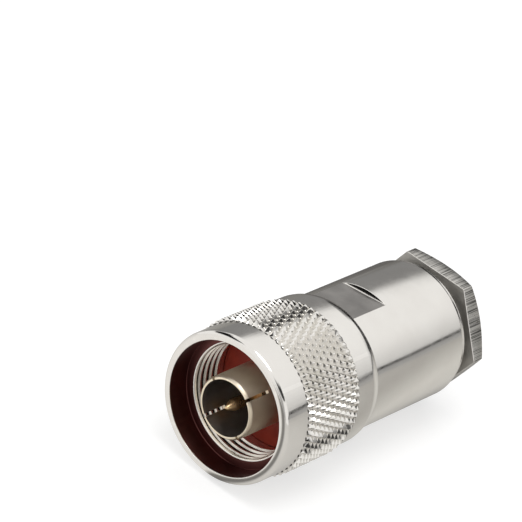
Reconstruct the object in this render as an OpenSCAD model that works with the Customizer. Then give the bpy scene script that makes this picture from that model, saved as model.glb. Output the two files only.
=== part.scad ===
// N type coaxial plug (male), clamp type, for a coaxial cable of about 10 mm.
// Knurled coupling nut, shell with two spanner flats, slotted outer contact,
// centre pin, and a hexagonal clamp nut behind a rubber cable gasket.
// Everything is turned about one axis, so each piece is a profile revolved
// about local Z, measured from the plug's front rim (0) to its back.
// place() then lays the plug down along Y, with its mating end to -Y.

/* [Node] */
// which node to show

/* [Coupling nut] */
// length of the coupling nut
nut_length = 18.7; // [17:0.1:22]
// smooth collars in front of and behind the knurl
collar_d = 20.0; // [19.4:0.1:20.2]
// over the points of the knurl
knurl_d = 21.0; // [20.6:0.1:22]
// length of the smooth collar in front of the knurl
front_collar = 4.3; // [2:0.1:6]
// length of the knurled band
knurl_length = 9.95; // [6:0.05:11]
// points of the knurl round the nut
knurl_count = 66; // [48:2:80]
// half rows of points along the nut
knurl_rows = 10; // [6:1:12]
// rounding of the nut's front edge
nut_round = 0.7; // [0.3:0.05:0.9]
// length of the taper behind the rear collar
nut_taper = 1.37; // [0.8:0.01:1.6]
// depth of that taper at the nut's back end
taper_depth = 0.4; // [0.2:0.05:0.45]

/* [Mating thread and mouth] */
// plain mouth in front of the thread
mouth_d = 17.7; // [16.8:0.1:18]
// depth of the plain mouth
mouth_depth = 3.25; // [1:0.05:4]
// crest of the 5/8-24 UNEF thread
thread_crest_d = 14.9; // [14.7:0.05:15]
// root of the 5/8-24 UNEF thread
thread_root_d = 15.9; // [15.8:0.05:16]
// length of the thread
thread_length = 4.6; // [3:0.1:5]
// rise of the cone that leads into the thread
thread_lead = 0.25; // [0.1:0.05:0.5]

/* [Shell] */
// outside of the shell
body_d = 18.6; // [18.4:0.1:18.7]
// from the front rim to the back end of the shell
body_back = 37.5; // [35:0.1:42]
// across the two spanner flats
flats_af = 17.2; // [16.8:0.1:17.6]
// from the front rim to the back end of the flats
flats_back = 25.6; // [23:0.1:27]
// turn of the flats about the axis, from the floor
flats_turn = -6.8; // [-15:0.1:15]
// lip behind the body, with the cone in front of it
body_lip = 0.75; // [0.5:0.05:1]
// depth of that cone
lip_depth = 0.2; // [0.1:0.05:0.3]
// neck that the coupling nut turns on
neck_d = 16.4; // [16:0.1:16.6]
// lip by which the coupling nut reaches over the shell
lip_overlap = 1.5; // [0.5:0.1:1.8]
// snap ring, along the axis
ring_width = 1.1; // [0.8:0.1:1.4]
// depth of the snap ring's groove in the neck
ring_groove = 0.8; // [0.6:0.05:1]
// how far the snap ring reaches into the coupling nut
ring_stand = 0.5; // [0.3:0.05:0.7]

/* [Contacts] */
// outside of the slotted outer contact
sleeve_d = 8.4; // [8.1:0.05:8.6]
// inside of the slotted outer contact
sleeve_bore = 7.46; // [7:0.02:7.6]
// wall added where the outer contact is pressed into the shell
contact_shoulder = 0.5; // [0.3:0.05:0.6]
// length pressed into the shell, up to the flange
contact_press = 3.4; // [2.5:0.1:4.5]
// thickness of the outer contact's flange
contact_flange = 1.0; // [0.6:0.1:1.5]
// outer contact's rim behind the front rim
sleeve_set = 0.3; // [0:0.05:1]
// width of each slot
slot_width = 0.42; // [0.3:0.02:0.6]
// length of each slot
slot_length = 3.9; // [3:0.1:6]
// number of slots
slot_count = 4; // [2:1:6]
// turn of the first slot about the axis
slot_turn = 42.9; // [0:0.1:90]
// wall added where the gasket sits on the outer contact
contact_root = 0.2; // [0.1:0.05:0.4]
// front end of the centre pin
pin_d = 1.6; // [1.5:0.02:1.7]
// centre pin behind its front end, and through the insulators
pin_body_d = 3.04; // [2.8:0.02:3.2]
// front end of the centre pin, from the front rim to its shoulder
pin_shoulder = 5.6; // [4:0.1:8]
// pin's point behind the front rim
pin_set = 0.45; // [0:0.05:2]
// length of the pin's taper
pin_taper = 1.35; // [0.5:0.05:2]
// solder cup at the back of the pin
cup_d = 3.8; // [3.6:0.1:4.2]
// bore of the solder cup, for the cable's centre wire
cup_bore = 2.8; // [2:0.1:2.9]
// length of the solder cup
cup_length = 6.4; // [5:0.1:8]

/* [Seals and insulators] */
// red gasket that the mating plug's end is pressed on
gasket_d = 15.7; // [15:0.05:15.7]
// front face of the gasket, from the front rim
gasket_front = 9.4; // [9:0.1:10]
// thickness of the gasket
gasket_thickness = 1.2; // [0.8:0.1:1.6]
// length of the front insulator
front_insulator_length = 3.8; // [2.5:0.1:4.5]
// depth of the step in front of the front insulator, behind the gasket
insulator_step = 0.6; // [0.3:0.1:1]
// width of that step
insulator_ledge = 0.55; // [0.3:0.05:0.6]
// length of the rear insulator
rear_insulator_length = 4.0; // [2.5:0.1:4.5]
// web of the rear insulator, in front of the solder cup
insulator_web = 0.6; // [0.4:0.1:1]
// outside of the rear insulator and of the outer contact's flange
insulator_d = 11.0; // [10:0.1:12]

/* [Cable clamp] */
// shoulder between the clamp chamber and the wider clamp thread
chamber_step = 0.7; // [0.6:0.05:0.9]
// braid clamp flange
braid_flange = 1.5; // [1:0.1:2]
// braid clamp tube behind its flange
braid_tube = 3.2; // [2:0.1:4]
// end wall of the braid clamp's tapered tube
braid_wall = 0.5; // [0.3:0.05:0.8]
// wall of the braid clamp's tube at its flange
braid_root = 1.25; // [0.8:0.05:1.5]
// rubber cable gasket, length
cable_gasket_length = 4.2; // [3:0.1:5]
// rubber cable gasket, from its outside to its bore
cable_gasket_wall = 1.95; // [1.8:0.05:2.1]
// depth of the V groove in the cable gasket
gasket_groove = 0.8; // [0.4:0.1:1.2]
// pressure washer, thickness
washer_thickness = 1.0; // [0.8:0.1:1.2]
// pressure washer, from its outside to its bore
washer_width = 1.75; // [1.4:0.05:1.9]
// clamp nut thread, over its crests
clamp_thread_d = 15.9; // [15.6:0.1:16]
// length of the clamp nut thread
clamp_thread_length = 6.0; // [5:0.1:6.5]
// depth of the plain neck between the thread and the hexagon
clamp_neck_depth = 0.5; // [0.45:0.05:0.7]
// hexagon across flats
hex_af = 17.0; // [16.5:0.1:18]
// thickness of the hexagon
hex_thickness = 2.8; // [2:0.1:4]
// chamfer circle on the hexagon's back face
hex_face_d = 16.2; // [15:0.1:16.6]
// cable hole through the clamp nut
cable_d = 11.5; // [11:0.1:12]
// chamfer at the mouth of the cable hole
cable_chamfer = 0.45; // [0.2:0.05:0.8]
// gap between the hexagon and the shell at rest
clamp_gap = 1.8; // [1.5:0.1:3]

/* [Clearances] */
// running clearance between turning pieces, on the radius
run_gap = 0.05; // [0.03:0.01:0.08]
// clearance between pieces that are seated, on the radius
seat_gap = 0.02; // [0.01:0.01:0.05]
// end play of the coupling nut
end_play = 0.15; // [0.1:0.05:0.3]

/* [Hidden] */
$fn = 96;

NICKEL = [0.80, 0.79, 0.77];
BRIGHT = [0.72, 0.71, 0.69];
WARM = [0.82, 0.76, 0.62];
GOLD = [0.86, 0.66, 0.25];
RED = [0.60, 0.12, 0.08];
PTFE = [0.95, 0.95, 0.93];
RUBBER = [0.12, 0.12, 0.12];
BRONZE = [0.70, 0.52, 0.32];

// edges that are only broken, and lead-ins at a multiple of it
edge = 0.15;
// a cut runs this far past the face it opens
past = 1;

// where the pieces seat, from the front rim
root_d = collar_d + 0.1;                      // knurl's valleys, just proud of the collars
thread_back = mouth_depth + thread_lead + thread_length;
shell_front = gasket_front + gasket_thickness;
nut_step = shell_front - end_play;            // nut's inner shoulder, in front of the shell
lip_front = nut_length - lip_overlap;         // floor of the lip that reaches over the shell
body_front = lip_front + end_play;
lip_gap = 0.15;                               // round the shell, inside the nut's rear lip
ring_play = 0.1;                              // round the snap ring, in both grooves
ring_center = (shell_front + body_front) / 2;

contact_seat = shell_front + contact_press;   // shoulder that the contact's flange stops on
contact_back = contact_seat + contact_flange;
contact_root_d = sleeve_d + 2 * contact_root;
contact_body_d = contact_root_d + 2 * contact_shoulder;
insulator_seat = shell_front + insulator_step;
front_insulator_d = sleeve_bore + 2 * insulator_ledge;
front_insulator_back = insulator_seat + front_insulator_length;
rear_insulator_front = max(front_insulator_back, contact_back);
rear_insulator_back = rear_insulator_front + rear_insulator_length;

cup_front = rear_insulator_front + insulator_web; // shoulder of the pin
cup_back = cup_front + cup_length;

braid_front = rear_insulator_back;
chamber_d = clamp_thread_d - 2 * chamber_step; // chamber for the braid clamp, gasket and washer
braid_flange_d = chamber_d - 2 * seat_gap;
cable_gasket_bore = chamber_d - 2 * cable_gasket_wall;
washer_bore = chamber_d - 2 * washer_width;
braid_tube_d = cable_gasket_bore - 4 * edge;  // the gasket goes over the tube
core_d = braid_tube_d - 2 * braid_root;       // hole for the cable's core
cable_gasket_front = braid_front + braid_flange;
cable_gasket_back = cable_gasket_front + cable_gasket_length;

hex_front = body_back + clamp_gap;
hex_back = hex_front + hex_thickness;
total_length = hex_back;
clamp_left = 0.1;                             // left between the pieces when the nut is tight
clamp_travel = clamp_gap - clamp_left;
washer_front = cable_gasket_back + clamp_travel + clamp_left;
washer_back = washer_front + washer_thickness;
clamp_nose = washer_back + run_gap;
clamp_thread_front = clamp_nose + 4 * edge;
clamp_thread_back = clamp_thread_front + clamp_thread_length;
clamp_neck_d = clamp_thread_d - 2 * clamp_neck_depth;
clamp_bore_d = clamp_thread_d + 2 * run_gap;  // root of the shell's inner thread
clamp_bore_front = clamp_nose - clamp_travel - 2 * edge;

// quarter round between two faces: centre, radius, first angle, last angle
function arc(cx, cy, r, a0, a1, n = 6) =
    [for (i = [0 : n]) let (a = a0 + (a1 - a0) * i / n) [cx + r * cos(a), cy + r * sin(a)]];

// lay the plug down on its knurl: local Z to +Y, local -Y up
module place()
    translate([0, -total_length / 2, knurl_d / 2]) rotate([-90, 0, 0]) children();

module turned(points) rotate_extrude() polygon(points);

// ---------------------------------------------------------------- knurl
// Points and valleys alternate round each row, and the next row is turned by
// one step, so every point stands on a diamond of four triangles.
knurl_around = 2 * knurl_count;
knurl_step = knurl_length / knurl_rows;

function knurl_point(row, k) =
    let (r = (row + k) % 2 == 0 ? knurl_d / 2 : root_d / 2, a = 360 * k / knurl_around)
    [r * cos(a), r * sin(a), front_collar + row * knurl_step];

function knurl_quad(row, k) =
    let (n = knurl_around, k1 = (k + 1) % n,
         a = row * n + k, b = row * n + k1, c = (row + 1) * n + k1, d = (row + 1) * n + k)
    (row + k) % 2 == 0 ? [[a, d, b], [c, b, d]] : [[b, a, c], [d, c, a]];

module knurl() {
    // the last two points are on the axis, and close the two flat ends
    points = concat(
        [for (row = [0 : knurl_rows]) for (k = [0 : knurl_around - 1]) knurl_point(row, k)],
        [[0, 0, front_collar], [0, 0, front_collar + knurl_length]]);
    sides = [for (row = [0 : knurl_rows - 1]) for (k = [0 : knurl_around - 1])
             for (t = knurl_quad(row, k)) t];
    first = knurl_rows * knurl_around;
    hub = first + knurl_around;
    ends = [for (k = [0 : knurl_around - 1]) let (k1 = (k + 1) % knurl_around)
            for (t = [[hub, k, k1], [hub + 1, first + k1, first + k]]) t];
    polyhedron(points, concat(sides, ends));
}

// ---------------------------------------------------------------- coupling nut
module coupling_nut() color(NICKEL) place() difference() {
    union() {
        // collars, with a flat ring on the front rim and a taper at the back
        turned(concat(
            [[0, 0]],
            arc(collar_d / 2 - nut_round, nut_round, nut_round, -90, 0),
            [[collar_d / 2, nut_length - nut_taper],
             [collar_d / 2 - taper_depth / 5, nut_length - 2 * nut_taper / 3],
             [collar_d / 2 - taper_depth, nut_length], [0, nut_length]]));
        knurl();
    }
    // mouth, land, thread and relief behind it, neck bore, ring groove, rear lip
    turned([
        [0, -past], [mouth_d / 2, -past], [mouth_d / 2, mouth_depth],
        [thread_crest_d / 2, mouth_depth + thread_lead],
        [thread_crest_d / 2, thread_back],
        [thread_root_d / 2, thread_back + thread_lead],
        [thread_root_d / 2, nut_step],
        [neck_d / 2 + run_gap, nut_step],
        [neck_d / 2 + run_gap, lip_front],
        [body_d / 2 + lip_gap, lip_front],
        [body_d / 2 + lip_gap, nut_length + past], [0, nut_length + past]]);
    ring_space(neck_d / 2 - past, neck_d / 2 + ring_stand + ring_play, ring_play);
}

module ring_space(inner, outer, side)
    turned([[inner, ring_center - ring_width / 2 - side], [outer, ring_center - ring_width / 2 - side],
            [outer, ring_center + ring_width / 2 + side], [inner, ring_center + ring_width / 2 + side]]);

// split spring ring that keeps the coupling nut on the shell
module snap_ring() color(BRONZE) place() difference() {
    ring_space(neck_d / 2 - ring_groove + seat_gap, neck_d / 2 + ring_stand, 0);
    translate([0, 0, ring_center - ring_width])
        linear_extrude(2 * ring_width)
            polygon([[0, 0], [-neck_d, 0.18 * neck_d], [-neck_d, -0.18 * neck_d]]);
}

// ---------------------------------------------------------------- mating gasket
module mating_gasket() color(RED) place()
    turned([
        [contact_root_d / 2 + seat_gap, gasket_front], [gasket_d / 2 - edge, gasket_front],
        [gasket_d / 2, gasket_front + edge], [gasket_d / 2, shell_front],
        [contact_root_d / 2 + seat_gap, shell_front]]);

// ---------------------------------------------------------------- shell
module shell() color(BRIGHT) place() difference() {
    turned(concat(
        [[0, shell_front], [neck_d / 2 - edge, shell_front], [neck_d / 2, shell_front + edge],
         [neck_d / 2, body_front], [body_d / 2 - edge, body_front], [body_d / 2, body_front + edge],
         [body_d / 2, body_back - body_lip], [body_d / 2 - lip_depth, body_back - body_lip * 0.4],
         [body_d / 2 - lip_depth, body_back - edge], [body_d / 2 - lip_depth - edge, body_back]],
        [[0, body_back]]));
    // groove for the snap ring
    ring_space(neck_d / 2 - ring_groove, neck_d / 2 + past, ring_play);
    // two spanner flats, the first one up
    for (side = [0, 180])
        rotate([0, 0, -90 + flats_turn + side])
            translate([flats_af / 2, -body_d / 2 - past, body_front - past])
                cube([body_d, body_d + 2 * past, flats_back - body_front + past]);
    // stepped bore: contact, flange and insulator, clamp chamber, thread, lead-in
    turned([
        [0, shell_front - past],
        [contact_body_d / 2 + seat_gap, shell_front - past],
        [contact_body_d / 2 + seat_gap, contact_seat],
        [insulator_d / 2 + seat_gap, contact_seat],
        [insulator_d / 2 + seat_gap, braid_front],
        [chamber_d / 2, braid_front],
        [chamber_d / 2, clamp_bore_front],
        [clamp_bore_d / 2, clamp_bore_front + (clamp_bore_d - chamber_d) / 2],
        [clamp_bore_d / 2, body_back - 2 * edge],
        [clamp_bore_d / 2 + 2 * edge, body_back],
        [clamp_bore_d / 2 + 2 * edge, body_back + past], [0, body_back + past]]);
}

// ---------------------------------------------------------------- outer contact
module outer_contact() color(WARM) place() difference() {
    turned([
        [sleeve_bore / 2, sleeve_set], [(sleeve_bore + sleeve_d) / 4, sleeve_set],
        [sleeve_d / 2, sleeve_set + 2 * edge],
        [sleeve_d / 2, gasket_front], [contact_root_d / 2, gasket_front],
        [contact_root_d / 2, shell_front], [contact_body_d / 2, shell_front],
        [contact_body_d / 2, contact_seat], [insulator_d / 2, contact_seat],
        [insulator_d / 2, contact_back], [front_insulator_d / 2 + seat_gap, contact_back],
        [front_insulator_d / 2 + seat_gap, insulator_seat], [sleeve_bore / 2, insulator_seat]]);
    for (i = [0 : slot_count - 1])
        rotate([0, 0, -90 + slot_turn + 360 / slot_count * i])
            translate([0, -slot_width / 2, sleeve_set - past])
                cube([sleeve_d, slot_width, slot_length + past]);
}

// ---------------------------------------------------------------- insulators and pin
module front_insulator() color(PTFE) place()
    turned([
        [pin_body_d / 2 + seat_gap, insulator_seat], [front_insulator_d / 2, insulator_seat],
        [front_insulator_d / 2, front_insulator_back],
        [pin_body_d / 2 + seat_gap, front_insulator_back]]);

module rear_insulator() color(PTFE) place()
    turned([
        [pin_body_d / 2 + seat_gap, rear_insulator_front],
        [insulator_d / 2, rear_insulator_front], [insulator_d / 2, rear_insulator_back],
        [cup_d / 2 + seat_gap, rear_insulator_back], [cup_d / 2 + seat_gap, cup_front],
        [pin_body_d / 2 + seat_gap, cup_front]]);

module center_pin() color(GOLD) place() difference() {
    turned([
        [0, pin_set], [pin_d / 8, pin_set], [pin_d / 2, pin_set + pin_taper],
        [pin_d / 2, pin_shoulder], [pin_body_d / 2, pin_shoulder],
        [pin_body_d / 2, cup_front + seat_gap], [cup_d / 2, cup_front + seat_gap],
        [cup_d / 2, cup_back - edge], [cup_d / 2 - edge, cup_back], [0, cup_back]]);
    // solder cup and its inspection hole
    translate([0, 0, cup_back - 0.8 * cup_length]) cylinder(d = cup_bore, h = cup_length);
    translate([0, 0, cup_back - 0.35 * cup_length]) rotate([0, -90, 0]) cylinder(d = 0.9, h = cup_d);
}

// ---------------------------------------------------------------- cable clamp
module braid_clamp() color(WARM) place()
    turned([
        [core_d / 2, braid_front], [braid_flange_d / 2, braid_front],
        [braid_flange_d / 2, braid_front + braid_flange],
        [braid_tube_d / 2, braid_front + braid_flange],
        [core_d / 2 + braid_wall, braid_front + braid_flange + braid_tube],
        [core_d / 2, braid_front + braid_flange + braid_tube]]);

// rubber ring with a V groove in its back face
module cable_gasket() color(RUBBER) place()
    turned([
        [cable_gasket_bore / 2, cable_gasket_front],
        [chamber_d / 2 - seat_gap, cable_gasket_front],
        [chamber_d / 2 - seat_gap, cable_gasket_back],
        [(cable_gasket_bore + chamber_d) / 4 + 4 * edge, cable_gasket_back],
        [(cable_gasket_bore + chamber_d) / 4, cable_gasket_back - gasket_groove],
        [(cable_gasket_bore + chamber_d) / 4 - 4 * edge, cable_gasket_back],
        [cable_gasket_bore / 2, cable_gasket_back]]);

module pressure_washer() color(WARM) place()
    turned([
        [washer_bore / 2, washer_front], [chamber_d / 2 - run_gap, washer_front],
        [chamber_d / 2 - run_gap, washer_back], [washer_bore / 2, washer_back]]);

module clamp_nut() color(NICKEL) place() difference() {
    union() {
        turned([
            [0, clamp_nose], [clamp_neck_d / 2, clamp_nose],
            [clamp_neck_d / 2, clamp_nose + edge], [clamp_thread_d / 2, clamp_thread_front],
            [clamp_thread_d / 2, clamp_thread_back - 2 * edge], [clamp_neck_d / 2, clamp_thread_back],
            [clamp_neck_d / 2, hex_front + edge], [0, hex_front + edge]]);
        // hexagon with one flat on the floor side, its back corners turned to 30 degrees
        intersection() {
            translate([0, 0, hex_front])
                cylinder(d = hex_af / cos(30), h = hex_thickness, $fn = 6);
            turned([
                [0, hex_front], [hex_af, hex_front],
                [hex_af, hex_back - (hex_af - hex_face_d / 2) * tan(30)],
                [hex_face_d / 2, hex_back], [0, hex_back]]);
        }
    }
    turned([
        [0, clamp_nose - past], [cable_d / 2, clamp_nose - past],
        [cable_d / 2, hex_back - cable_chamfer], [cable_d / 2 + cable_chamfer, hex_back],
        [cable_d / 2 + cable_chamfer + past, hex_back + past], [0, hex_back + past]]);
}

coupling_nut();
snap_ring();
mating_gasket();
shell();
outer_contact();
front_insulator();
rear_insulator();
center_pin();
braid_clamp();
cable_gasket();
pressure_washer();
clamp_nut();
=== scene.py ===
"""Looks of the N type coaxial plug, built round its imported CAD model.

Lengths named here are in millimetres along the plug's own axis, counted from its
front rim (0) to its back, as they are in the part's source. Every mesh is in metres.
Angles about the axis start at the plug's up and turn towards +X.
"""
import math

import bmesh
import bpy
import numpy as np
from mathutils import Matrix, Vector


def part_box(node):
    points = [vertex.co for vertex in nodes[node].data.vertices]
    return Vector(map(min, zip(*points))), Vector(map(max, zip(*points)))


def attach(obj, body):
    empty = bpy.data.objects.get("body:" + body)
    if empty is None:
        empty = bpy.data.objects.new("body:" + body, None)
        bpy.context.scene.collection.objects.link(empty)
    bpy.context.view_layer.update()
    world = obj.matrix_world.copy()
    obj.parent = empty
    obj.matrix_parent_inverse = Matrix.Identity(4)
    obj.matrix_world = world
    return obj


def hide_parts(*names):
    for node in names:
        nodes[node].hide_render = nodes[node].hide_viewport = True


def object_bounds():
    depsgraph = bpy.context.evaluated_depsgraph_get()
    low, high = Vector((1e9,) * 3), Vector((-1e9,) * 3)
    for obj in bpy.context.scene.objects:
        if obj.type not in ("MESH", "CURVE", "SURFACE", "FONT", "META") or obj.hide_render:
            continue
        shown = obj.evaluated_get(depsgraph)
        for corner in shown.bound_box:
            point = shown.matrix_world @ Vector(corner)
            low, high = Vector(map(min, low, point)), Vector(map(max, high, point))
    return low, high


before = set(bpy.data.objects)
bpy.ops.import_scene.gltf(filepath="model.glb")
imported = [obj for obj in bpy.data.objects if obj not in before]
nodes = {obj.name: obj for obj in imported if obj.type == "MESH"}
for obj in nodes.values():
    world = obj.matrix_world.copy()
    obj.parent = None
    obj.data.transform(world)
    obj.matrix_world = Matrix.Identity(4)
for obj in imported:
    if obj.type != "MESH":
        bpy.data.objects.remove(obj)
cad_bounds = [list(corner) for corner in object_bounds()]

MM = 0.001
low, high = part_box("coupling_nut")
FRONT_Y = low.y
AXIS_Z = (low.z + high.z) / 2
FLOOR_Z = cad_bounds[0][2]
scene = bpy.context.scene

# ------------------------------------------------------------------ sizes, as in the part
NUT_LENGTH, COLLAR_R, NUT_ROUND = 18.7, 10.0, 0.7
NUT_TAPER, TAPER_DEPTH = 1.37, 0.4
KNURL_FRONT, KNURL_LENGTH, KNURL_COUNT, KNURL_ROWS = 4.3, 9.95, 66, 10
KNURL_ROOT_R, KNURL_TIP_R = 9.88, 10.5
MOUTH_R, MOUTH_DEPTH = 8.85, 3.25
THREAD_FRONT, THREAD_BACK, THREAD_PITCH = 3.5, 8.1, 25.4 / 24
CREST_R, ROOT_R = 7.45, 7.95
NUT_STEP, NECK_BORE_R, LIP_FRONT, LIP_R = 10.45, 8.25, 17.2, 9.45
RING_CENTER, RING_HALF, RING_R = 13.975, 0.65, 8.8
SHELL_FRONT, NECK_R, BODY_FRONT, BODY_R = 10.6, 8.2, 17.35, 9.3
SHELL_EDGE, GROOVE_FRONT, GROOVE_BACK, GROOVE_DEPTH = 0.15, 13.33, 14.62, 0.8
BODY_BACK, BODY_LIP, LIP_DEPTH = 37.5, 0.75, 0.2
CONTACT_HOLE_R, INSULATOR_HOLE_R, CHAMBER_FRONT, CHAMBER_BACK, CHAMBER_R = 4.92, 5.52, 19.0, 25.55, 7.25
CLAMP_HOLE_R, HOLE_CHAMFER, THREAD_CHAMFER = 8.0, 0.3, 0.75
FLAT_HALF, FLATS_BACK, FLATS_TURN = 8.6, 25.6, math.radians(-6.8)
CLAMP_NOSE, CLAMP_THREAD_FRONT, CLAMP_THREAD_BACK = 27.55, 28.15, 34.15
CLAMP_R, CLAMP_NECK_R, CLAMP_PITCH = 7.95, 7.45, 1.0
HEX_FRONT, HEX_BACK, HEX_HALF, HEX_FACE_R = 39.3, 42.1, 8.5, 8.1
CABLE_R, CABLE_CHAMFER = 5.75, 0.45
SLEEVE_R, SLEEVE_BORE_R, SLEEVE_FRONT = 4.2, 3.73, 0.3
CONTACT_ROOT, CONTACT_BODY_R, CONTACT_SEAT = 0.2, 4.9, 14.0
FLANGE_R, CONTACT_BACK, INSULATOR_SEAT, INSULATOR_R = 5.5, 15.0, 11.2, 4.3
SLOT_BACK, SLOT_WIDTH, SLOT_TURN = 4.2, 0.42, math.radians(42.9)
GASKET_FRONT, GASKET_BORE_R, GASKET_R = 9.4, 4.42, 7.93
PIN_FRONT, PIN_R, PIN_TAPER, PIN_SHOULDER, PIN_BODY_R = 0.45, 0.8, 1.35, 5.6, 1.52
CUP_FRONT, CUP_BACK, CUP_R, CUP_BORE_R = 15.62, 22.0, 1.9, 1.4
CUP_DEPTH, CUP_CONE, SOLDER_HOLE, SOLDER_HOLE_PLACE = 5.12, 0.38, 0.8, 2.24
CABLE_GASKET_FRONT, CABLE_GASKET_BACK, CABLE_GASKET_BORE_R, CABLE_GASKET_R = 20.5, 24.7, 5.31, 7.22
V_DEPTH, V_HALF = 0.8, 0.6


# ------------------------------------------------------------------ mesh code
def mesh_object(name, points, faces, body, slot, materials, sharp=32.0, weld=0.0008):
    """A mesh piece from points in mm (axial, radius, angle) that rides on a body."""
    z, r, a = points[:, 0], points[:, 1], points[:, 2]
    co = np.stack([r * np.sin(a) * MM, FRONT_Y + z * MM, AXIS_Z + r * np.cos(a) * MM], axis=1)
    mesh = bpy.data.meshes.new(name)
    mesh.from_pydata(co.tolist(), [], faces)
    bm = bmesh.new()
    bm.from_mesh(mesh)
    bmesh.ops.remove_doubles(bm, verts=bm.verts, dist=weld * MM)
    bmesh.ops.dissolve_degenerate(bm, edges=bm.edges, dist=weld * MM / 4)
    bmesh.ops.recalc_face_normals(bm, faces=bm.faces)
    bm.to_mesh(mesh)
    bm.free()
    ob = bpy.data.objects.new(name, mesh)
    scene.collection.objects.link(ob)
    return finish_piece(ob, body, materials, sharp)


def finish_piece(ob, body, materials, sharp):
    """Shading, materials and body of a piece."""
    mesh = ob.data
    mesh.polygons.foreach_set("use_smooth", [True] * len(mesh.polygons))
    mesh.set_sharp_from_angle(angle=math.radians(sharp))
    mesh.materials.clear()
    for material in materials if isinstance(materials, list) else [materials]:
        mesh.materials.append(material)
    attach(ob, body)
    return ob


def arc(zc, rc, radius, first, last, count):
    """Part of a round in a profile: angles in degrees, 0 = outwards, 90 = to the back."""
    out = []
    for i in range(count + 1):
        t = math.radians(first + (last - first) * i / count)
        out.append((zc + radius * math.sin(t), rc + radius * math.cos(t)))
    return out


def rounded(corners, radius, count=4):
    """A closed profile with every corner rounded by a short curve."""
    out = []
    for i, corner in enumerate(corners):
        before, after = Vector(corners[i - 1]), Vector(corners[(i + 1) % len(corners)])
        here = Vector(corner)
        reach = min(radius, (before - here).length / 2.2, (after - here).length / 2.2)
        a = here + (before - here).normalized() * reach
        b = here + (after - here).normalized() * reach
        for k in range(count + 1):
            t = k / count
            out.append(tuple(a * (1 - t) ** 2 + here * (2 * t * (1 - t)) + b * t ** 2))
    return out


def paint(ob, choose):
    """Gives a face the material that choose(face, z, r) answers, if any. z is the face's place
    along the axis and r its place out from it, in mm."""
    for face in ob.data.polygons:
        z = (face.center.y - FRONT_Y) / MM
        r = math.hypot(face.center.x, face.center.z - AXIS_Z) / MM
        material = choose(face, z, r)
        if material:
            face.material_index = ob.data.materials.find(material.name)


def even(count):
    """Angles that divide a whole turn evenly."""
    return np.linspace(0, 2 * math.pi, count + 1)


def turned(profile, angles):
    """Rows of (z, r) for every angle; z and r are numbers or arrays over the angles."""
    rows = []
    for z, r in profile:
        rows.append(np.stack([np.broadcast_to(np.asarray(z, float), angles.shape),
                              np.broadcast_to(np.asarray(r, float), angles.shape), angles], axis=1))
    return np.stack(rows)


def grid_faces(rows, columns, diagonal=None):
    """Quads of a grid that closes on itself. Where diagonal(row, column) gives an answer, the
    quad is cut in two along the one or the other diagonal."""
    faces = []
    for i in range(rows):
        j = (i + 1) % rows
        for k in range(columns - 1):
            a, b, c, d = i * columns + k, i * columns + k + 1, j * columns + k + 1, j * columns + k
            way = diagonal(i, k) if diagonal else None
            if way is None:
                faces.append((a, b, c, d))
            elif way:
                faces.extend([(a, b, c), (a, c, d)])
            else:
                faces.extend([(a, b, d), (b, c, d)])
    return faces


def lathe(name, profile, angles, body, slot, materials, diagonal=None, **more):
    """A piece turned about the plug's axis. Its profile is closed."""
    rows = turned(profile, angles)
    faces = grid_faces(rows.shape[0], rows.shape[1], diagonal)
    return mesh_object(name, rows.reshape(-1, 3), faces, body, slot, materials, **more)


def cut(ob, cutters, sharp):
    """Cuts each cutter out of the piece, and leaves no modifier or cutter behind."""
    for cutter in cutters:
        modifier = ob.modifiers.new("cut", "BOOLEAN")
        modifier.operation, modifier.solver, modifier.object = "DIFFERENCE", "EXACT", cutter
    bpy.context.view_layer.update()
    mesh = bpy.data.meshes.new_from_object(ob.evaluated_get(bpy.context.evaluated_depsgraph_get()))
    ob.modifiers.clear()
    ob.data = mesh
    for cutter in cutters:
        bpy.data.objects.remove(cutter)
    mesh.polygons.foreach_set("use_smooth", [True] * len(mesh.polygons))
    mesh.set_sharp_from_angle(angle=math.radians(sharp))


def cutter_box(size, center, turn):
    """A box to cut with: size across, along and out from the axis, in mm."""
    bm = bmesh.new()
    bmesh.ops.create_cube(bm, size=1.0)
    bmesh.ops.scale(bm, verts=bm.verts, vec=[s * MM for s in size])
    bmesh.ops.rotate(bm, verts=bm.verts, matrix=Matrix.Rotation(turn, 3, "Y"))
    bmesh.ops.translate(bm, verts=bm.verts, vec=center)
    mesh = bpy.data.meshes.new("cutter")
    bm.to_mesh(mesh)
    bm.free()
    ob = bpy.data.objects.new("cutter", mesh)
    scene.collection.objects.link(ob)
    return ob


# one turn of a 60 degree thread: where along the pitch, and how deep
TURN = [(0.00, 0.0), (0.23, 0.0), (0.27, 0.08), (0.40, 0.5), (0.54, 0.94),
        (0.58, 1.0), (0.67, 1.0), (0.71, 0.94), (0.85, 0.5), (0.98, 0.08)]


def smooth(t):
    """Smooth change from 0 to 1."""
    t = np.clip(t, 0.0, 1.0)
    return t * t * (3 - 2 * t)


def thread_rows(start, end, pitch, crest, root, angles, first, last, run_in, run_out):
    """Rows of a right-hand thread between two planes. It grows out of depth first and dies
    away into depth last, where 0 is its crest and 1 is its root."""
    rows = []
    advance = angles / (2 * math.pi)
    for i in range(int(math.ceil((end - start) / pitch)) + 2):
        for where, depth in TURN:
            z = start + pitch * (i - 1 + where + advance)
            inside = np.clip(z, start, end)
            phase = np.mod((inside - start) / pitch - advance, 1.0)
            h = np.interp(phase, [w for w, _ in TURN] + [1.0], [d for _, d in TURN] + [0.0])
            h = np.where(np.abs(inside - z) < 1e-9, depth, h)
            h = first + (h - first) * smooth((inside - start) / run_in)
            h = last + (h - last) * smooth((end - inside) / run_out)
            rows.append((inside, crest + (root - crest) * h))
    return rows


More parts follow.
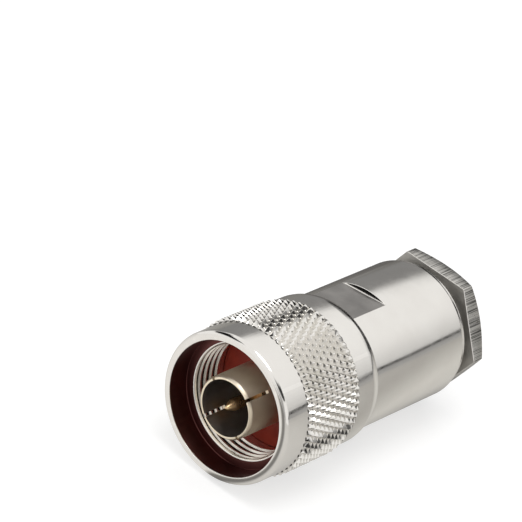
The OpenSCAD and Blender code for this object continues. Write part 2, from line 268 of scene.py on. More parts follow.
# ------------------------------------------------------------------ materials
class Nodes:
    """Short names for adding shader nodes to one node tree."""

    def __init__(self, tree):
        self.tree = tree
        tree.nodes.clear()

    def add(self, kind, inputs=None, **settings):
        node = self.tree.nodes.new(kind)
        for key, value in settings.items():
            setattr(node, key, value)
        for key, value in (inputs or {}).items():
            if isinstance(value, bpy.types.NodeSocket):
                self.tree.links.new(value, node.inputs[key])
            else:
                node.inputs[key].default_value = value
        return node

    def math(self, operation, a, b=0.0, c=0.0):
        return self.add("ShaderNodeMath", {0: a, 1: b, 2: c}, operation=operation).outputs[0]

    def step(self, value, start, end, from_value=0.0, to_value=1.0):
        """Smooth change between two values of the input."""
        if start > end:
            start, end, from_value, to_value = end, start, to_value, from_value
        inputs = {0: value, 1: start, 2: end, 3: from_value, 4: to_value}
        return self.add("ShaderNodeMapRange", inputs, interpolation_type="SMOOTHSTEP").outputs[0]

    def ramp(self, value, stops):
        """Colours or greys by the input, each from its own place on."""
        node = self.add("ShaderNodeValToRGB", {"Fac": value})
        elements = node.color_ramp.elements
        while len(elements) < len(stops):
            elements.new(0.5)
        for element, (place, color) in zip(elements, stops):
            element.position = place
            element.color = (*color, 1.0) if isinstance(color, tuple) else (color, color, color, 1.0)
        return node.outputs[0]

    def noise(self, scale, detail=3.0, roughness=0.5, stretch=(1, 1, 1), move=(0, 0, 0)):
        place = self.add("ShaderNodeTexCoord").outputs["Object"]
        place = self.add("ShaderNodeMapping", {0: place, "Location": move, "Scale": stretch}).outputs[0]
        inputs = {"Vector": place, "Scale": scale, "Detail": detail, "Roughness": roughness}
        return self.add("ShaderNodeTexNoise", inputs).outputs["Fac"]

    def spread(self, value, low_out, high_out, low_in=0.35, high_in=0.65):
        """Straight change between two values of the input."""
        inputs = {0: value, 1: low_in, 2: high_in, 3: low_out, 4: high_out}
        return self.add("ShaderNodeMapRange", inputs).outputs[0]

    def mix(self, share, first, second):
        return self.add("ShaderNodeMix", {0: share, 2: first, 3: second}).outputs[0]

    def mix_colors(self, share, first, second):
        return self.add("ShaderNodeMix", {0: share, 6: first, 7: second}, data_type="RGBA").outputs[2]

    def bump(self, strength, distance, height, more):
        """A bump on top of what is in more, as inputs for the next node."""
        inputs = {"Strength": strength, "Distance": distance, "Height": height, **more}
        return {"Normal": self.add("ShaderNodeBump", inputs).outputs[0]}


def new_material(name):
    mat = bpy.data.materials.new(name)
    mat.use_nodes = True
    return mat, Nodes(mat.node_tree)


GRAIN, GRAIN_DEPTH, GRAIN_STRENGTH = 9000.0, 0.00004, 0.005
WORN = 0.5                                 # how far an edge is worn bright
SCORES = [(0.40, 0.10), (0.48, 0.62), (0.55, 1.0)]


def metal(name, color, dull, rough, lines=(), stretch=0.0, scored=None):
    """Plated metal: colour that drifts a little, roughness that varies, tool lines in layers of
    (scale along x, y, z, depth), a bright worn edge, and highlights drawn out across the lines of
    the lathe by stretch. Scored metal has dark lines, as fine as that scale."""
    mat, n = new_material(name)
    base = n.ramp(n.noise(260.0, 3.0), [(0.30, dull), (0.68, color)])
    if scored:
        line = n.ramp(n.noise(1.0, 3.0, 0.7, scored), SCORES)
        base = n.add("ShaderNodeMixRGB", {0: 1.0, 1: base, 2: line}, blend_type="MULTIPLY").outputs[0]
    edge = n.spread(n.add("ShaderNodeNewGeometry").outputs["Pointiness"], 0.0, WORN, 0.52, 0.62)
    lit = tuple(min(1.0, c * 1.1) for c in color)
    base = n.add("ShaderNodeMixRGB", {0: edge, 1: base, 2: (*lit, 1.0)}).outputs[0]
    roughness = n.spread(n.noise(900.0, 4.0, 0.6), rough[0], rough[1])
    normal = {}
    for i, (scale, depth) in enumerate(lines):
        height = n.noise(1.0, 2.0, 0.6, scale, (0.3 * i, 0.7 * i, 0.1 * i))
        normal = n.bump(1.0, depth, height, normal)
    normal = n.bump(GRAIN_STRENGTH, GRAIN_DEPTH, n.noise(GRAIN, 2.0), normal)
    inputs = {"Base Color": base, "Metallic": 1.0, "Roughness": roughness, **normal}
    if stretch:
        inputs.update({"Anisotropic": stretch, "Anisotropic Rotation": 0.25,
                       "Tangent": n.add("ShaderNodeTangent", direction_type="RADIAL", axis="Y").outputs[0]})
    n.add("ShaderNodeOutputMaterial", {0: n.add("ShaderNodeBsdfPrincipled", inputs).outputs[0]})
    return mat


def dull_solid(name, color, shade, rough, scale, depth, sheen=0.0, soft=0.0):
    """Rubber and plastic: colour drift, grain in the bump, and a little sheen."""
    mat, n = new_material(name)
    base = n.ramp(n.noise(scale / 8, 4.0), [(0.32, shade), (0.66, color)])
    roughness = n.spread(n.noise(scale / 3, 3.0), rough[0], rough[1])
    inputs = {"Base Color": base, "Roughness": roughness, "Sheen Weight": sheen, "Sheen Roughness": 0.5,
              "Subsurface Weight": soft, "Subsurface Scale": 0.0006,
              **n.bump(0.5, depth, n.noise(scale, 4.0), {})}
    n.add("ShaderNodeOutputMaterial", {0: n.add("ShaderNodeBsdfPrincipled", inputs).outputs[0]})
    return mat


# tool lines: scale of the noise along x, y and z, and their depth in metres
RINGS = ((0, 5200, 0), 0.0000016)          # round a turned face
FINE_RINGS = ((0, 30000, 0), 0.0000005)
ALONG = ((4200, 90, 4200), 0.000016)       # deep lines of the milling cutter, along the axis
FINE_ALONG = ((16000, 300, 16000), 0.000003)
SCORED = (9000, 70, 9000)
nickel = metal("nickel", (0.82, 0.80, 0.765), (0.79, 0.765, 0.73), (0.10, 0.15),
               [RINGS, FINE_RINGS], 0.8)
knurled = metal("nickel_knurl", (0.84, 0.82, 0.79), (0.78, 0.76, 0.72), (0.08, 0.16))
bright = metal("nickel_body", (0.81, 0.79, 0.755), (0.78, 0.755, 0.72), (0.09, 0.13),
               [RINGS, FINE_RINGS], 0.9)
hexagon = metal("nickel_hexagon", (0.66, 0.64, 0.61), (0.47, 0.46, 0.43), (0.26, 0.38),
                [ALONG, FINE_ALONG], scored=SCORED)
# The milled flats: their rougher finish is their own, their darker colour is painted shade.
flat = metal("nickel_flat_painted_shade", (0.38, 0.365, 0.35), (0.27, 0.26, 0.25), (0.40, 0.52), [FINE_ALONG])
# Painted shade: near black nickel for the step wall behind each flat and the deep half of each thread
# groove.
painted_shade_black = metal("nickel_step_painted_shade", (0.030, 0.028, 0.027), (0.016, 0.015, 0.015), (0.50, 0.60), [FINE_ALONG])
# Painted light: the thread and its land get a lighter, creamier copy of the nickel, standing in for the
# warm light they catch inside the mouth.
threaded = metal("nickel_thread_painted_light", (0.90, 0.86, 0.79), (0.78, 0.73, 0.64), (0.26, 0.36),
                 [FINE_RINGS], 0.4)
# Painted reflection and painted shade: the mouth wall is dark red, standing in for the red seal it mirrors
# in shade.
mouth = metal("nickel_mouth_painted_reflection", (0.130, 0.050, 0.046), (0.110, 0.042, 0.038), (0.28, 0.34),
              [FINE_RINGS], 0.4)
# Painted shade: dark grey on the knurl's front end faces, where the ends of its valleys lie in shade.
knurl_end_shade = metal("nickel_knurl_end_painted_shade", (0.16, 0.155, 0.145), (0.09, 0.085, 0.08), (0.40, 0.50), [FINE_ALONG])
# Painted shade: a darker grey copy of the nickel for the hexagon's front face in the gap behind the body.
shaded = metal("nickel_face_painted_shade", (0.47, 0.455, 0.43), (0.36, 0.35, 0.33), (0.42, 0.55), [FINE_RINGS])
contact = metal("contact_plate", (0.96, 0.86, 0.70), (0.84, 0.73, 0.56), (0.36, 0.46),
                [FINE_RINGS], 0.5)
# Painted shade: a darker copy of the contact plating inside the slotted sleeve, deep in shade.
bore = metal("contact_bore_painted_shade", (0.36, 0.32, 0.30), (0.25, 0.22, 0.20), (0.34, 0.46), [FINE_RINGS], 0.4)
gold = metal("gold_plate", (0.95, 0.70, 0.42), (0.84, 0.57, 0.30), (0.24, 0.34), [FINE_RINGS], 0.4)
bronze = metal("bronze_ring", (0.72, 0.50, 0.30), (0.58, 0.38, 0.22), (0.25, 0.40), [FINE_ALONG])
red = dull_solid("red_rubber", (0.52, 0.060, 0.032), (0.42, 0.042, 0.022), (0.42, 0.55),
                 5000.0, 0.00002, sheen=0.1, soft=0.05)
black = dull_solid("black_rubber", (0.022, 0.022, 0.023), (0.013, 0.013, 0.014), (0.5, 0.66),
                   5200.0, 0.00002, sheen=0.15)
ptfe = dull_solid("ptfe", (0.88, 0.87, 0.84), (0.82, 0.81, 0.78), (0.38, 0.5),
                  3600.0, 0.00001, soft=0.15)

# the pieces that keep their CAD mesh
for name, material in {"snap_ring": bronze, "front_insulator": ptfe, "rear_insulator": ptfe,
                       "braid_clamp": contact, "pressure_washer": contact}.items():
    for place in nodes[name].material_slots:
        place.material = material

# ------------------------------------------------------------------ coupling nut
CUTS = (0.0, 0.14, 0.86)       # where each half step of the knurl is cut
HIGHEST = 0.88                 # the knurl's points are a little flattened
END_CHAMFER, END_HEIGHT = 0.55, 0.45   # and lower towards both ends of the knurl
half = math.pi / KNURL_COUNT
knurl_columns = [k + s for k in range(2 * KNURL_COUNT) for s in CUTS] + [2 * KNURL_COUNT]
knurl_places = [k + s for k in range(KNURL_ROWS) for s in CUTS] + [KNURL_ROWS]
nut_angles = np.array(knurl_columns) * half


def knurl_row(place):
    """Radius round one row of the knurl. Points and valleys take turns, half a step apart."""
    s = np.abs(np.mod(np.array(knurl_columns) + 1, 2) - 1)
    t = abs((place + 1) % 2 - 1)
    height = np.minimum(np.abs(1 - (s + t)), HIGHEST)
    from_end = min(place, KNURL_ROWS - place) * KNURL_LENGTH / KNURL_ROWS
    height = height * (END_HEIGHT + (1 - END_HEIGHT) * min(1.0, from_end / END_CHAMFER))
    return KNURL_ROOT_R + (KNURL_TIP_R - KNURL_ROOT_R) * height


knurl_back = KNURL_FRONT + KNURL_LENGTH
taper_front = NUT_LENGTH - NUT_TAPER
profile = [(0.10, MOUTH_R), (0.03, MOUTH_R + 0.03), (0.0, MOUTH_R + 0.10), (0.0, COLLAR_R - NUT_ROUND)]
profile += arc(NUT_ROUND, COLLAR_R - NUT_ROUND, NUT_ROUND, -90, 0, 8)[1:]
profile += [(KNURL_FRONT - 0.02, COLLAR_R), (KNURL_FRONT, COLLAR_R)]
first_knurl_row = len(profile)
profile += [(KNURL_FRONT + KNURL_LENGTH * p / KNURL_ROWS, knurl_row(p)) for p in knurl_places]
last_knurl_row = len(profile) - 1
profile += [(knurl_back, COLLAR_R), (knurl_back + 0.02, COLLAR_R),
            (taper_front - 0.12, COLLAR_R), (taper_front + 0.02, COLLAR_R - 0.006),
            (taper_front + 0.2, COLLAR_R - 0.035),
            (taper_front + NUT_TAPER / 3, COLLAR_R - TAPER_DEPTH / 5),
            (taper_front + 0.66, COLLAR_R - 0.14), (NUT_LENGTH - 0.14, COLLAR_R - TAPER_DEPTH + 0.045),
            (NUT_LENGTH - 0.05, COLLAR_R - TAPER_DEPTH + 0.005),
            (NUT_LENGTH - 0.01, COLLAR_R - TAPER_DEPTH - 0.04),
            (NUT_LENGTH, LIP_R + 0.06), (NUT_LENGTH - 0.02, LIP_R + 0.02), (NUT_LENGTH - 0.06, LIP_R),
            (LIP_FRONT, LIP_R), (LIP_FRONT, NECK_BORE_R),
            (RING_CENTER + RING_HALF, NECK_BORE_R), (RING_CENTER + RING_HALF, RING_R),
            (RING_CENTER - RING_HALF, RING_R), (RING_CENTER - RING_HALF, NECK_BORE_R),
            (NUT_STEP, NECK_BORE_R), (NUT_STEP, ROOT_R)]
thread = thread_rows(THREAD_FRONT, THREAD_BACK, THREAD_PITCH, CREST_R, ROOT_R, nut_angles,
                     first=0.0, last=1.0, run_in=0.3, run_out=0.35)
profile += thread[::-1]
profile += [(MOUTH_DEPTH + 0.10, CREST_R + 0.10), (MOUTH_DEPTH + 0.02, CREST_R + 0.22),
            (MOUTH_DEPTH, CREST_R + 0.30), (MOUTH_DEPTH, MOUTH_R - 0.06), (MOUTH_DEPTH - 0.06, MOUTH_R)]


def knurl_diagonal(i, k):
    """Cuts the knurl's quads along its grooves."""
    if not first_knurl_row <= i < last_knurl_row:
        return None
    row, column = knurl_places[i - first_knurl_row], knurl_columns[k]
    return (math.floor(row) + math.floor(column)) % 2 == 1


nut = lathe("nut_knurled", profile, nut_angles, "coupling_nut", "nickel",
            [nickel, knurled, threaded, mouth, painted_shade_black, knurl_end_shade], diagonal=knurl_diagonal, sharp=24.0)



def nut_look(face, z, r):
    # Painted shade on the knurl's front end faces.
    if abs(z - KNURL_FRONT) < 0.005 and r > COLLAR_R - 0.1:
        return knurl_end_shade
    if KNURL_FRONT - 0.05 < z < knurl_back + 0.05 and r > COLLAR_R - 0.2:
        return knurled
    # Painted shade: the deep half of each thread groove is near black.
    if THREAD_FRONT < z < THREAD_BACK - 0.1 and (CREST_R + ROOT_R) / 2 < r < ROOT_R + 0.01:
        return painted_shade_black
    # Painted light on the thread's crests and land.
    if MOUTH_DEPTH + 0.01 < z < THREAD_BACK and r < ROOT_R - 0.1:
        return threaded
    # Painted reflection and painted shade on the mouth wall.
    return mouth if 0.2 < z < MOUTH_DEPTH and r < MOUTH_R + 0.01 else None


paint(nut, nut_look)
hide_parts("coupling_nut")

# ------------------------------------------------------------------ shell
edge_angle = math.acos(FLAT_HALF / BODY_R)
breaks = [FLATS_TURN + side + s * edge_angle for side in (0, math.pi) for s in (-1, 1)]
angles = [a for a in even(288)[:-1]
          if all(abs((a - b + math.pi) % (2 * math.pi) - math.pi) > 0.008 for b in breaks)]
angles = sorted(angles + [b % (2 * math.pi) for b in breaks])
shell_angles = np.array(angles + [angles[0] + 2 * math.pi])
from_flat = np.abs(np.mod(shell_angles - FLATS_TURN + math.pi / 2, math.pi) - math.pi / 2)


def on_flats(r):
    return np.minimum(r, FLAT_HALF / np.cos(from_flat))


def above_flats(rise, below=0.0):
    """Radius of the step behind each flat, and the body's own radius between the flats."""
    top = np.where(on_flats(BODY_R) < BODY_R - 0.001, BODY_R - below, BODY_R)
    return np.minimum(on_flats(BODY_R) + rise, top)


lip_r = BODY_R - LIP_DEPTH
cone_front, cone_back = BODY_BACK - BODY_LIP, BODY_BACK - 0.4 * BODY_LIP
profile = [(SHELL_FRONT, CONTACT_BODY_R + 0.1), (SHELL_FRONT, NECK_R - SHELL_EDGE),
           (SHELL_FRONT + SHELL_EDGE, NECK_R),
           (GROOVE_FRONT, NECK_R), (GROOVE_FRONT, NECK_R - GROOVE_DEPTH),
           (GROOVE_BACK, NECK_R - GROOVE_DEPTH), (GROOVE_BACK, NECK_R), (BODY_FRONT, NECK_R),
           (BODY_FRONT, on_flats(BODY_R - SHELL_EDGE)), (BODY_FRONT + SHELL_EDGE, on_flats(BODY_R)),
           (FLATS_BACK - 0.17, on_flats(BODY_R)), (FLATS_BACK - 0.09, above_flats(0.02)),
           (FLATS_BACK - 0.03, above_flats(0.07)), (FLATS_BACK, above_flats(0.16)),
           (FLATS_BACK, above_flats(2 * BODY_R, 0.05)),
           (FLATS_BACK + 0.015, above_flats(2 * BODY_R, 0.015)), (FLATS_BACK + 0.05, BODY_R),
           (cone_front - 0.10, BODY_R), (cone_front - 0.03, BODY_R - 0.006),
           (cone_front + 0.03, BODY_R - 0.026), (cone_back + 0.07, lip_r), (BODY_BACK - 0.17, lip_r),
           (BODY_BACK - 0.11, lip_r - 0.02), (BODY_BACK - 0.02, lip_r - 0.11), (BODY_BACK, lip_r - 0.17),
           (BODY_BACK, CLAMP_HOLE_R + 0.34), (BODY_BACK - 0.02, CLAMP_HOLE_R + 0.29),
           (BODY_BACK - HOLE_CHAMFER, CLAMP_HOLE_R), (CHAMBER_BACK + THREAD_CHAMFER, CLAMP_HOLE_R),
           (CHAMBER_BACK, CHAMBER_R), (CHAMBER_FRONT, CHAMBER_R), (CHAMBER_FRONT, INSULATOR_HOLE_R),
           (CONTACT_SEAT, INSULATOR_HOLE_R), (CONTACT_SEAT, CONTACT_HOLE_R),
           (SHELL_FRONT + 0.04, CONTACT_HOLE_R)]
body = lathe("shell_body", profile, shell_angles, "shell", "nickel", [bright, flat, painted_shade_black], sharp=20.0)
flat_way = Vector((math.sin(FLATS_TURN), 0, math.cos(FLATS_TURN)))


def shell_look(face, z, r):
    out = abs((face.center - Vector((0, 0, AXIS_Z))).dot(flat_way)) / MM
    if BODY_FRONT + 0.1 < z < FLATS_BACK + 0.01 and out > FLAT_HALF - 0.01:
        if abs(face.normal.dot(flat_way)) > 0.95:
            # The flats get their milled finish and painted shade.
            return flat
        # Painted shade: the step wall behind the flat is near black.
        if abs(face.normal.y) > 0.95:
            return painted_shade_black
    return None


paint(body, shell_look)
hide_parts("shell")

# ------------------------------------------------------------------ clamp nut
HEX_ROUND = 0.16               # rounding of the hexagon's corners
corner_out = (HEX_HALF - HEX_ROUND) / math.cos(math.pi / 6)
corner_reach = math.pi / 6 - math.atan((HEX_HALF - HEX_ROUND) * math.tan(math.pi / 6) / HEX_HALF)
corners = [math.pi / 6 + i * math.pi / 3 for i in range(6)]
clamp_angles = [a for a in even(144)[:-1] if all(abs(a - c) > corner_reach + 0.006 for c in corners)]
clamp_angles += [c + corner_reach * s for c in corners for s in (-1, -0.6, -0.2, 0.2, 0.6, 1)]
clamp_angles = sorted(clamp_angles)
clamp_angles = np.array(clamp_angles + [clamp_angles[0] + 2 * math.pi])
from_middle = np.abs(np.mod(clamp_angles + math.pi / 6, math.pi / 3) - math.pi / 6)
from_corner = math.pi / 6 - from_middle
hex_r = np.where(from_corner > corner_reach, HEX_HALF / np.cos(from_middle),
                 corner_out * np.cos(from_corner)
                 + np.sqrt(np.maximum(HEX_ROUND ** 2 - (corner_out * np.sin(from_corner)) ** 2, 0)))
FALL = math.tan(math.pi / 6)   # slope of the chamfer behind the hexagon
hex_edge = HEX_BACK - (hex_r - HEX_FACE_R) * FALL
profile = [(CLAMP_NOSE + 0.1, CABLE_R), (CLAMP_NOSE, CABLE_R + 0.1), (CLAMP_NOSE, CLAMP_NECK_R - 0.1),
           (CLAMP_NOSE + 0.1, CLAMP_NECK_R)]
profile += thread_rows(CLAMP_THREAD_FRONT - 0.3, CLAMP_THREAD_BACK, CLAMP_PITCH, CLAMP_R,
                       CLAMP_NECK_R, clamp_angles, first=1.0, last=1.0, run_in=0.5, run_out=0.4)
profile += [(HEX_FRONT - 0.12, CLAMP_NECK_R), (HEX_FRONT - 0.03, CLAMP_NECK_R + 0.03),
            (HEX_FRONT, CLAMP_NECK_R + 0.12), (HEX_FRONT, hex_r - 0.10), (HEX_FRONT + 0.03, hex_r - 0.03),
            (HEX_FRONT + 0.10, hex_r), (hex_edge - 0.09, hex_r), (hex_edge - 0.02, hex_r - 0.02),
            (hex_edge + 0.09 * FALL, hex_r - 0.09), (HEX_BACK - 0.10 * FALL, HEX_FACE_R + 0.10),
            (HEX_BACK - 0.02 * FALL, HEX_FACE_R), (HEX_BACK, HEX_FACE_R - 0.12),
            (HEX_BACK, CABLE_R + CABLE_CHAMFER + 0.05),
            (HEX_BACK - 0.02, CABLE_R + CABLE_CHAMFER - 0.02),
            (HEX_BACK - CABLE_CHAMFER + 0.03, CABLE_R + 0.03), (HEX_BACK - CABLE_CHAMFER - 0.06, CABLE_R)]
clamp = lathe("clamp_nut_threaded", profile, clamp_angles, "clamp_nut", "nickel",
              [nickel, hexagon, shaded], sharp=26.0)



def clamp_look(face, z, r):
    if HEX_FRONT < z < HEX_BACK and r > HEX_FACE_R and abs(face.normal.y) < 0.3:
        return hexagon
    # Painted shade on the hexagon's front face.
    return shaded if abs(z - HEX_FRONT) < 0.02 else None


paint(clamp, clamp_look)
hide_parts("clamp_nut")

# ------------------------------------------------------------------ outer contact, pin and gaskets
rim_r = (SLEEVE_BORE_R + SLEEVE_R) / 2
profile = [(SLEEVE_FRONT + 0.03, SLEEVE_BORE_R), (SLEEVE_FRONT, SLEEVE_BORE_R + 0.04),
           (SLEEVE_FRONT, rim_r - 0.03), (SLEEVE_FRONT + 0.02, rim_r + 0.02),
           (SLEEVE_FRONT + 0.26, SLEEVE_R - 0.03), (SLEEVE_FRONT + 0.36, SLEEVE_R),
           (GASKET_FRONT - 0.02, SLEEVE_R), (GASKET_FRONT, SLEEVE_R + CONTACT_ROOT),
           (SHELL_FRONT, SLEEVE_R + CONTACT_ROOT), (SHELL_FRONT, CONTACT_BODY_R),
           (CONTACT_SEAT, CONTACT_BODY_R), (CONTACT_SEAT, FLANGE_R), (CONTACT_BACK, FLANGE_R),
           (CONTACT_BACK, INSULATOR_R), (INSULATOR_SEAT, INSULATOR_R), (INSULATOR_SEAT, SLEEVE_BORE_R)]
sleeve = lathe("contact_sleeve", profile, even(192), "shell", "contact", [contact, bore], sharp=28.0)
# Painted shade inside the sleeve.
paint(sleeve, lambda face, z, r: bore if z > SLEEVE_FRONT + 0.05 and r < SLEEVE_BORE_R + 0.03 else None)
# each box cuts two of the four slots
slot_length = SLOT_BACK - SLEEVE_FRONT + 1.0
slot_place = Vector((0, FRONT_Y + (SLOT_BACK - slot_length / 2) * MM, AXIS_Z))
boxes = [cutter_box((2.5 * SLEEVE_R, slot_length, SLOT_WIDTH), slot_place, SLOT_TURN + math.pi / 2 + side)
         for side in (0, math.pi / 2)]
cut(sleeve, boxes, 28.0)
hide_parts("outer_contact")

tip = [(PIN_FRONT, 0.0), (PIN_FRONT + 0.01, 0.09), (PIN_FRONT + 0.07, 0.19), (PIN_FRONT + 0.20, 0.27),
       (PIN_FRONT + PIN_TAPER - 0.25, PIN_R - 0.09), (PIN_FRONT + PIN_TAPER, PIN_R - 0.02),
       (PIN_FRONT + PIN_TAPER + 0.3, PIN_R)]
profile = tip + [(PIN_SHOULDER - 0.05, PIN_R), (PIN_SHOULDER, PIN_R + 0.05),
                 (PIN_SHOULDER, PIN_BODY_R - 0.1), (PIN_SHOULDER + 0.1, PIN_BODY_R),
                 (CUP_FRONT, PIN_BODY_R), (CUP_FRONT, CUP_R - 0.04),
                 (CUP_FRONT + 0.04, CUP_R), (CUP_BACK - 0.15, CUP_R), (CUP_BACK - 0.03, CUP_R - 0.05),
                 (CUP_BACK, CUP_R - 0.15), (CUP_BACK, CUP_BORE_R + 0.06), (CUP_BACK - 0.06, CUP_BORE_R),
                 (CUP_BACK - CUP_DEPTH, CUP_BORE_R), (CUP_BACK - CUP_DEPTH - CUP_CONE, 0.0)]
pin = lathe("pin_gold", profile, even(64), "shell", "gold", gold, sharp=30.0)
hole_place = Vector((0, FRONT_Y + (CUP_BACK - SOLDER_HOLE_PLACE) * MM, AXIS_Z + CUP_R * MM))
cut(pin, [cutter_box((SOLDER_HOLE, SOLDER_HOLE, CUP_R), hole_place, 0.0)], 30.0)
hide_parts("center_pin")

ring = [(GASKET_FRONT, GASKET_BORE_R), (GASKET_FRONT, GASKET_R), (SHELL_FRONT, GASKET_R - 0.05),
        (SHELL_FRONT, GASKET_BORE_R)]
seal = lathe("mating_seal", rounded(ring, 0.08), even(144), "shell", "red_rubber", red, sharp=40.0)
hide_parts("mating_gasket")

middle = (CABLE_GASKET_BORE_R + CABLE_GASKET_R) / 2
ring = [(CABLE_GASKET_FRONT, CABLE_GASKET_BORE_R), (CABLE_GASKET_FRONT, CABLE_GASKET_R),
        (CABLE_GASKET_BACK, CABLE_GASKET_R), (CABLE_GASKET_BACK, middle + V_HALF),
        (CABLE_GASKET_BACK - V_DEPTH, middle), (CABLE_GASKET_BACK, middle - V_HALF),
        (CABLE_GASKET_BACK, CABLE_GASKET_BORE_R)]
seal = lathe("cable_seal", rounded(ring, 0.15), even(128), "shell", "black_rubber", black, sharp=40.0)
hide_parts("cable_gasket")

# ------------------------------------------------------------------ camera
# Where the camera saw the plug: front rim's centre (mm: right, down, away) and the plug's axis.
RIM_SEEN = Vector((-4.622, 18.237, 430.959))
AXIS_SEEN = Vector((0.6401, -0.2548, 0.7249)).normalized()
REST_TURN = math.radians(31.5)   # the plug's up, from the camera's up, about the axis
LENS, SENSOR = 241.38, 36.0

up_seen = Vector((0, -1, 0))
up_seen = (up_seen - AXIS_SEEN * up_seen.dot(AXIS_SEEN)).normalized()
side_seen = AXIS_SEEN.cross(up_seen)
z_seen = up_seen * math.cos(REST_TURN) + side_seen * math.sin(REST_TURN)
x_seen = AXIS_SEEN.cross(z_seen)
to_object = Matrix((x_seen, AXIS_SEEN, z_seen))   # from the camera's directions, y down
place = Vector((0, FRONT_Y, AXIS_Z)) - to_object @ RIM_SEEN * MM
turn = to_object @ Matrix(((1, 0, 0), (0, -1, 0), (0, 0, -1)))
camera_data = bpy.data.cameras.new("camera")
camera_data.lens, camera_data.sensor_width = LENS, SENSOR
camera_data.clip_start, camera_data.clip_end = 0.01, 20.0
camera = bpy.data.objects.new("camera", camera_data)
camera.matrix_world = Matrix.Translation(place) @ turn.to_4x4()
scene.collection.objects.link(camera)
scene.camera = camera

# ------------------------------------------------------------------ studio
scene.view_settings.view_transform = "Standard"

# A white tent with dark cards. Each card: azimuth from and to, elevation from and to, in degrees,
# how soft its sides, lower and upper edges are, and how much light it leaves. Azimuth is 0 in
# front of the plug, 90 at +X.
CARDS = [(-101, -37, 21, 43, 5, 4, 6, 0.01),
         (-168, -106, -20, 30, 10, 8, 9, 0.26),
         (41, 112, 29, 50, 7, 5, 12, 0.04),
         (118, 175, 0, 20, 12, 2, 28, 0.70),
         (105, 165, -10, 5.0, 5, 4, 1.0, 0.55),
         (105, 165, 4.6, 7.3, 5, 0.6, 0.6, 0.01),
         (16, 54, -12, 24, 9, 6, 8, 0.45),
         (166, 211, -16, 13, 4, 4, 4, 0.02)]
AMBIENT = 0.98                             # light of the world on what is dull

# Painted reflection: grey and dark patches painted on the floor for the metal to mirror, standing in for
# the shade and dark things round the plug; the camera sees the floor white. Colour by azimuth about a point
# in front of the plug's middle, where 0 and 1 are behind it, 0.25 at -X, 0.5 in front and 0.75 at +X.
TABLE_CENTER = -16                         # along y, in mm
FLOOR_PAINTED_SHADE = [(0.00, (0.20, 0.195, 0.19)), (0.05, (0.13, 0.125, 0.12)), (0.09, (0.13, 0.125, 0.12)),
         (0.13, (0.30, 0.295, 0.28)), (0.21, (0.70, 0.69, 0.67)), (0.33, (0.86, 0.85, 0.83)),
         (0.478, (0.88, 0.87, 0.85)), (0.511, (0.24, 0.235, 0.22)), (0.567, (0.20, 0.195, 0.19)),
         (0.628, (0.66, 0.65, 0.63)), (0.75, (0.66, 0.65, 0.63)), (0.85, (0.59, 0.58, 0.56)),
         (0.895, (0.41, 0.40, 0.38)), (0.935, (0.66, 0.65, 0.62)), (0.96, (0.62, 0.61, 0.58)),
         (0.99, (0.30, 0.29, 0.28))]
FLOOR_HALF, FLOOR_LIT, FLOOR_GLOW = 1.5, 0.46, 0.62   # size in metres, share lit, glow of its own
WHITE, BLACK = (1.0, 1.0, 1.0, 1.0), (0.0, 0.0, 0.0, 1.0)
LAMP_PLACE, LAMP_SIZE, LAMP_POWER = (0.05, -0.10, 0.55), 0.30, 0.9


def azimuth_of(n, x, y):
    """Degrees round from the front of the plug, towards +X."""
    return n.math("MULTIPLY", n.math("ARCTAN2", x, n.math("MULTIPLY", y, -1.0)), 180 / math.pi)


def light_paths(n):
    """Is Camera Ray, and 1 for each ray that shows the white background: to the camera itself,
    in metal and through glass."""
    rays = n.add("ShaderNodeLightPath").outputs
    mirrored = n.math("MAXIMUM", rays["Is Glossy Ray"], rays["Is Transmission Ray"])
    return rays["Is Camera Ray"], n.math("MAXIMUM", rays["Is Camera Ray"], mirrored)


world = bpy.data.worlds.new("studio")
scene.world = world
world.use_nodes = True
n = Nodes(world.node_tree)
way = n.add("ShaderNodeSeparateXYZ", {0: n.add("ShaderNodeTexCoord").outputs["Generated"]}).outputs
azimuth = azimuth_of(n, way[0], way[1])
behind = n.math("ADD", azimuth, n.math("MULTIPLY", n.math("LESS_THAN", azimuth, 0.0), 360.0))
elevation = n.math("MULTIPLY", n.math("ARCSINE", way[2]), 180 / math.pi)
tent = n.step(elevation, 55, 90, 1.0, 0.95)
for left, right, bottom, top, side, under, over, light in CARDS:
    around = behind if right > 180 else azimuth
    cover = n.math("MULTIPLY", n.step(around, left - side / 2, left + side / 2),
                   n.step(around, right + side / 2, right - side / 2))
    cover = n.math("MULTIPLY", cover, n.step(elevation, bottom - under / 2, bottom + under / 2))
    cover = n.math("MULTIPLY", cover, n.step(elevation, top + over / 2, top - over / 2))
    tent = n.math("MULTIPLY", tent, n.math("MULTIPLY_ADD", cover, light - 1.0, 1.0))
to_camera, seen = light_paths(n)
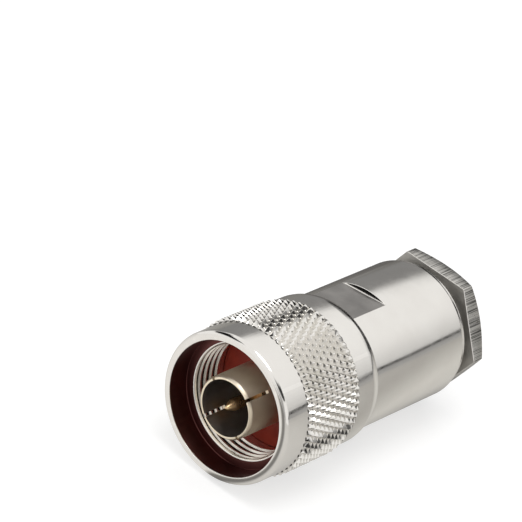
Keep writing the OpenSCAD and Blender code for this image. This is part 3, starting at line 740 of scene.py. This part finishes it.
strength = n.math("MULTIPLY", n.mix(seen, AMBIENT, 1.0), n.mix(to_camera, tent, 1.0))
sky = n.add("ShaderNodeBackground", {"Color": (1.0, 0.995, 0.985, 1.0), "Strength": strength})
n.add("ShaderNodeOutputWorld", {0: sky.outputs[0]})

floor_mesh = bpy.data.meshes.new("floor")
corners = [(x * FLOOR_HALF, y * FLOOR_HALF, FLOOR_Z) for x, y in ((-1, -1), (1, -1), (1, 1), (-1, 1))]
floor_mesh.from_pydata(corners, [], [(0, 1, 2, 3)])
floor = bpy.data.objects.new("floor", floor_mesh)
scene.collection.objects.link(floor)
paper, n = new_material("paper")
to_camera, seen = light_paths(n)
spot = n.add("ShaderNodeSeparateXYZ", {0: n.add("ShaderNodeTexCoord").outputs["Object"]}).outputs
ahead = n.math("ADD", spot[1], -TABLE_CENTER * MM)
# Painted shade on the floor, seen only by rays that are not the camera's; the camera sees white.
tone = n.ramp(n.math("MULTIPLY_ADD", azimuth_of(n, spot[0], ahead), 1 / 360, 0.5), FLOOR_PAINTED_SHADE)
white_or_painted_shade = n.mix_colors(to_camera, tone, WHITE)
lit = n.add("ShaderNodeBsdfDiffuse", {"Color": n.mix_colors(1 - FLOOR_LIT, white_or_painted_shade, BLACK)}).outputs[0]
glow = n.add("ShaderNodeEmission", {"Color": white_or_painted_shade, "Strength": FLOOR_GLOW}).outputs[0]
white = n.add("ShaderNodeAddShader", {0: lit, 1: glow})
plain = n.add("ShaderNodeBsdfDiffuse", {"Color": tone})
shader = n.add("ShaderNodeMixShader", {0: seen, 1: plain.outputs[0], 2: white.outputs[0]})
n.add("ShaderNodeOutputMaterial", {0: shader.outputs[0]})
floor_mesh.materials.append(paper)

data = bpy.data.lights.new("top", "AREA")
data.shape, data.size, data.energy = "DISK", LAMP_SIZE, LAMP_POWER
lamp = bpy.data.objects.new("top", data)
lamp.location = LAMP_PLACE
lamp.rotation_euler = (Vector((0, 0, AXIS_Z)) - lamp.location).to_track_quat("-Z", "Y").to_euler()
scene.collection.objects.link(lamp)
